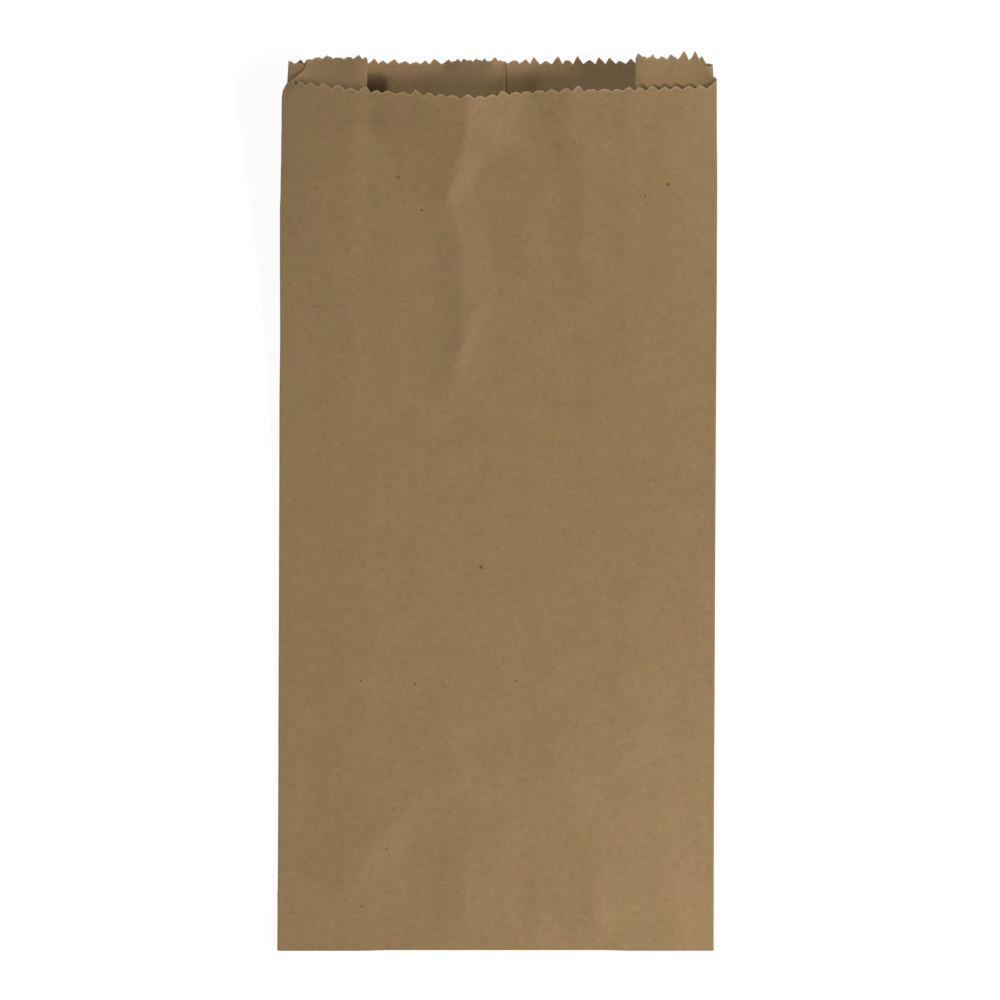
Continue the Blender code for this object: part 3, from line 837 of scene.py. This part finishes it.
FLECKS = (
    (-4.8, 114.4, 0.54),
    (50.1, 228.0, 0.54),
    (-29.9, 230.0, 0.42),
    (-22.7, 220.5, 0.40),
    (-40.4, 80.6, 0.38),
    (-24.3, 79.7, 0.36),
    (5.6, 80.6, 0.36),
    (-32.6, 30.6, 0.36),
    (-40.1, 13.3, 0.34),
    (43.4, 224.6, 0.36),
)


FLECK_CORE, FLECK_RIM, FLECK_STRENGTH = 0.7, 1.15, 0.9

# The patterns of the paper, as features for each metre of it, across the web and along it

CLOUD_SCALE, PATCH_SCALE, SPECK_SCALE = 420, 95, 260.0
ALONG_FIBRES, ACROSS_FIBRES = (2600, 420, 1), (420, 2600, 1)
STREAKS, TINTS, SLIVERS = (330, 9, 1), (190, 70, 1), (150, 480, 1)

# How far each of them lightens and darkens the paper, over the middle of its noise

CLOUD_AMOUNT, PATCH_AMOUNT, FIBRE_AMOUNT, STREAK_AMOUNT = 0.09, 0.035, 0.045, 0.01
MIDDLE_OF_NOISE = (0.3, 0.7)
TINT_RANGE = (0.36, 0.64, 0.0, 1.0)
TINT_SHARE = 0.45

# Slivers, dashes, specks and the cut edge, as (from low, from high, to low, to high). The first three map a
# cell's random number to a strength, the sizes map the distance from its centre, and the last the cut itself;
# its pale band is partly the cut's own paler fibres and partly a painted highlight.

PALE_SLIVERS = (0.75, 0.95, 0.0, 0.22)
DARK_DASHES = (0.84, 0.98, 0.0, 0.50)
DARK_SPECKS = (0.84, 0.95, 0.0, 0.45)
SLIVER_SIZE = (0.03, 0.10, 1.0, 0.0)
SPECK_SIZE = (0.035, 0.075, 1.0, 0.0)
PALE_CUT_AND_HIGHLIGHT = (0.75, 1.0, 0.0, 0.40)

# The sheen, how far the roughness varies, and the fine grain

SHEEN = 0.33
GLOSS_SPREAD = (-0.05, 0.06)
GRAIN_CLOUDS, GRAIN_STRENGTH, GRAIN_DEPTH = 1.5, 0.35, 0.04 * MM


def kraft_paper(look, front_middle):
    """Kraft paper: cloudy formation, fibres both ways, faint machine streaks, flecks and a pale cut edge that
    is partly a painted highlight.
    """
    material = bpy.data.materials.new("kraft_paper_look")
    nodes = Nodes(material)
    flat = nodes.add("ShaderNodeAttribute", attribute_name="flat_sheet").outputs["Vector"]
    near_cut = nodes.add("ShaderNodeAttribute", attribute_name="near_cut").outputs["Fac"]

    clouds = nodes.noise(flat, CLOUD_SCALE, 4.0, 0.6)
    patches = nodes.noise(flat, PATCH_SCALE, 3.0, 0.5)
    stretches = (ALONG_FIBRES, ACROSS_FIBRES, STREAKS, TINTS)
    along, across, streaks, tint = (nodes.noise(nodes.stretched(flat, s)) for s in stretches)

    tinted = nodes.mixed(nodes.ranged(tint, *TINT_RANGE), rgba(look.olive), rgba(look.rosy))
    base = nodes.mixed(TINT_SHARE, rgba(look.kraft), tinted)

    light = nodes.ranged(clouds, *MIDDLE_OF_NOISE, -CLOUD_AMOUNT, CLOUD_AMOUNT)
    amounts = (PATCH_AMOUNT, FIBRE_AMOUNT, FIBRE_AMOUNT, STREAK_AMOUNT)
    for value, amount in zip((patches, along, across, streaks), amounts):
        light = nodes.math("ADD", light, nodes.ranged(value, *MIDDLE_OF_NOISE, -amount, amount))
    strength = nodes.math("ADD", light, 1.0)
    painted = nodes.add("ShaderNodeVectorMath", {0: base, "Scale": strength}, operation="SCALE").outputs[0]

    slivers = nodes.add(
        "ShaderNodeTexVoronoi",
        {"Vector": nodes.stretched(flat, SLIVERS), "Scale": 1.0},
        voronoi_dimensions="2D",
    )
    short = nodes.ranged(slivers.outputs["Distance"], *SLIVER_SIZE)
    chosen = nodes.add("ShaderNodeSeparateColor", {"Color": slivers.outputs["Color"]})
    pale = nodes.math("MULTIPLY", short, nodes.ranged(chosen.outputs["Red"], *PALE_SLIVERS))
    painted = nodes.mixed(pale, painted, rgba(look.straw_and_cut_highlight))
    dashes = nodes.math("MULTIPLY", short, nodes.ranged(chosen.outputs["Blue"], *DARK_DASHES))
    painted = nodes.mixed(dashes, painted, rgba(look.fleck))

    specks = nodes.add(
        "ShaderNodeTexVoronoi", {"Vector": flat, "Scale": SPECK_SCALE}, voronoi_dimensions="2D"
    )
    dark = nodes.ranged(specks.outputs["Distance"], *SPECK_SIZE)
    picked = nodes.add("ShaderNodeSeparateColor", {"Color": specks.outputs["Color"]})
    dark = nodes.math("MULTIPLY", dark, nodes.ranged(picked.outputs["Green"], *DARK_SPECKS))
    for s, v, radius in FLECKS:
        place = (front_middle + s * MM, v * MM, 0.0)
        gap = nodes.add("ShaderNodeVectorMath", {0: flat, 1: place}, operation="DISTANCE").outputs["Value"]
        core, rim = FLECK_CORE * radius * MM, FLECK_RIM * radius * MM
        dark = nodes.math("MAXIMUM", dark, nodes.ranged(gap, core, rim, FLECK_STRENGTH, 0.0))
    painted = nodes.mixed(dark, painted, rgba(look.fleck))
    # Pales the teeth towards the cut with straw: partly the cut's own paler fibres, partly a painted
    # highlight along the edge.
    painted = nodes.mixed(nodes.ranged(near_cut, *PALE_CUT_AND_HIGHLIGHT), painted, rgba(look.straw_and_cut_highlight))

    rough_range = [look.roughness + spread for spread in GLOSS_SPREAD]
    rough = nodes.ranged(clouds, *MIDDLE_OF_NOISE, *rough_range)
    grain = nodes.math("ADD", nodes.math("ADD", along, across), nodes.math("MULTIPLY", clouds, GRAIN_CLOUDS))
    bump = nodes.add(
        "ShaderNodeBump", {"Strength": GRAIN_STRENGTH, "Distance": GRAIN_DEPTH, "Height": grain}
    )
    shader = nodes.add(
        "ShaderNodeBsdfPrincipled",
        {"Base Color": painted, "Roughness": rough, "Normal": bump.outputs["Normal"]},
    )
    shader.inputs["Specular IOR Level"].default_value = SHEEN
    output = nodes.add("ShaderNodeOutputMaterial", {"Surface": shader.outputs["BSDF"]})
    output.is_active_output = True
    return material


# The stage


WHITE = (1, 1, 1, 1)
TABLE_GREY = (0.8, 0.8, 0.8, 1)
SHADED_GREY = (0.36, 0.36, 0.36, 1)
TABLE_GLOW = 0.8
TABLE_WIDTH = 6.0
TABLE_GAP = 0.05 * MM


def seen_directly(nodes):
    """1 for what the camera sees itself, in a reflection or through glass."""
    paths = nodes.add("ShaderNodeLightPath")
    seen = nodes.math("MAXIMUM", paths.outputs["Is Camera Ray"], paths.outputs["Is Glossy Ray"])
    return nodes.math("MAXIMUM", seen, paths.outputs["Is Transmission Ray"])


def table_material():
    """A pale grey table, which shows as white with the bag's shadow on it."""
    material = bpy.data.materials.new("pale_table")
    nodes = Nodes(material)
    plain = nodes.add("ShaderNodeBsdfDiffuse", {"Color": TABLE_GREY}).outputs[0]
    shaded = nodes.add("ShaderNodeBsdfDiffuse", {"Color": SHADED_GREY}).outputs[0]
    glow = nodes.add("ShaderNodeEmission", {"Color": WHITE, "Strength": TABLE_GLOW}).outputs[0]
    white = nodes.add("ShaderNodeAddShader", {0: shaded, 1: glow}).outputs[0]
    chosen = nodes.add("ShaderNodeMixShader", {0: seen_directly(nodes), 1: plain, 2: white})
    nodes.add("ShaderNodeOutputMaterial", {"Surface": chosen.outputs[0]})
    return material


def make_table():
    bpy.ops.mesh.primitive_plane_add(size=TABLE_WIDTH, location=(0, 0, LOW.z - TABLE_GAP))
    table = bpy.context.object
    table.name = "pale_table"
    table.data.materials.append(table_material())


def make_world(strength):
    """A white room, which gives the bag this much light and shows as white itself."""
    world = bpy.data.worlds.new("white_room")
    bpy.context.scene.world = world
    nodes = Nodes(world)
    room = nodes.add("ShaderNodeBackground", {"Color": WHITE, "Strength": strength}).outputs[0]
    white = nodes.add("ShaderNodeBackground", {"Color": WHITE, "Strength": 1.0}).outputs[0]
    chosen = nodes.add("ShaderNodeMixShader", {0: seen_directly(nodes), 1: room, 2: white})
    nodes.add("ShaderNodeOutputWorld", {"Surface": chosen.outputs[0]})


def aim(made, place, target):
    made.location = place
    made.rotation_euler = (Vector(target) - Vector(place)).to_track_quat("-Z", "Y").to_euler()
    bpy.context.scene.collection.objects.link(made)


KEY_DIRECTION = Vector((-0.480, 0.314, 0.819))
KEY_SOFTNESS = math.radians(9)
LOW_DIRECTION = Vector((0.946, 0.0, 0.326))
LOW_SOFTNESS = math.radians(6)
SIDE_LAMP = (500 * MM, 750 * MM)
CORNER_PLACE = (160 * MM, -200 * MM, 120 * MM)
CORNER_LAMP = (70 * MM, 70 * MM)


def make_sun(name, direction, softness, amount):
    """A far light that gives this share of the light on a level surface."""
    lamp = bpy.data.lights.new(name, "SUN")
    lamp.energy = math.pi * amount / direction.normalized().z
    lamp.angle = softness
    aim(bpy.data.objects.new(name, lamp), direction, (0, 0, 0))


def make_lamp(name, place, size, amount):
    """A soft lamp aimed at the middle of the bag, which gives this share of the light there."""
    lamp = bpy.data.lights.new(name, "AREA")
    lamp.shape = "RECTANGLE"
    lamp.size, lamp.size_y = size
    lamp.energy = math.pi**2 * amount * Vector(place).length ** 3 / place[2]
    aim(bpy.data.objects.new(name, lamp), place, (0, 0, 0))


def side_place(stage):
    flat = stage.side_distance * math.cos(stage.side_height)
    height = stage.side_distance * math.sin(stage.side_height)
    return flat * math.cos(stage.side_bearing), flat * math.sin(stage.side_bearing), height


CAMERA_PLACE = (1.0 * MM, 1.4 * MM)
CAMERA_NEAR = 10 * MM
PICTURE_WIDTH = 298.2 * MM
SENSOR = 36.0


def make_camera(height):
    """A camera that looks straight down, with a lens that keeps the picture's width at any height."""
    data = bpy.data.cameras.new("camera")
    data.sensor_width = SENSOR
    data.lens = SENSOR * height / PICTURE_WIDTH
    data.clip_start = CAMERA_NEAR
    camera = bpy.data.objects.new("camera", data)
    camera.location = (*CAMERA_PLACE, height)
    bpy.context.scene.collection.objects.link(camera)
    bpy.context.scene.camera = camera


class BAG_OT_fold_sheet(bpy.types.Operator):
    """Fold the kraft sheet into the bag, around its solid"""

    bl_idname = "paper_bag.fold_sheet"
    bl_label = "Fold the sheet"

    def execute(self, context):
        scene = context.scene
        bag, sheet = make_bag(scene.bag_folds, scene.bag_mouth, scene.bag_cut)
        bag.data.materials.clear()
        bag.data.materials.append(kraft_paper(scene.bag_paper, sheet.front_middle))
        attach(bag, "root")
        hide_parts(SOLID_NAME)
        return {"FINISHED"}


class BAG_OT_set_stage(bpy.types.Operator):
    """Set the bag on a pale table, with its lights and the camera above it"""

    bl_idname = "paper_bag.set_stage"
    bl_label = "Set the stage"

    def execute(self, context):
        stage = context.scene.bag_stage
        context.scene.view_settings.view_transform = "Standard"
        make_table()
        make_world(stage.room_share)
        make_sun("key_light", KEY_DIRECTION, KEY_SOFTNESS, stage.key_share)
        make_sun("low_light", LOW_DIRECTION, LOW_SOFTNESS, stage.low_share)
        make_lamp("side_light", side_place(stage), SIDE_LAMP, stage.side_share)
        make_lamp("corner_light", CORNER_PLACE, CORNER_LAMP, stage.corner_share)
        make_camera(stage.camera_height)
        return {"FINISHED"}


GROUPS = (
    ("bag_folds", FoldedSizes),
    ("bag_mouth", MouthSizes),
    ("bag_cut", CutSizes),
    ("bag_paper", PaperLook),
    ("bag_stage", StageLook),
)
OPERATORS = (BAG_OT_fold_sheet, BAG_OT_set_stage)


class BAG_PT_sidebar(bpy.types.Panel):
    """Sizes, colours and steps of the paper bag"""

    bl_idname = "BAG_PT_sidebar"
    bl_label = "Paper Lunch Bag"
    bl_space_type = "VIEW_3D"
    bl_region_type = "UI"
    bl_category = "Paper Bag"

    def draw(self, context):
        for name, group in GROUPS:
            box = self.layout.box()
            for field in group.__annotations__:
                box.prop(getattr(context.scene, name), field)
        for operator in OPERATORS:
            self.layout.operator(operator.bl_idname)


def register():
    for name, group in GROUPS:
        bpy.utils.register_class(group)
        setattr(bpy.types.Scene, name, bpy.props.PointerProperty(type=group))
    for cls in (*OPERATORS, BAG_PT_sidebar):
        bpy.utils.register_class(cls)


def unregister():
    for cls in (BAG_PT_sidebar, *reversed(OPERATORS)):
        bpy.utils.unregister_class(cls)
    for name, group in reversed(GROUPS):
        delattr(bpy.types.Scene, name)
        bpy.utils.unregister_class(group)


def main():
    register()
    bpy.ops.paper_bag.fold_sheet()
    bpy.ops.paper_bag.set_stage()


if __name__ == "__main__":
    main()
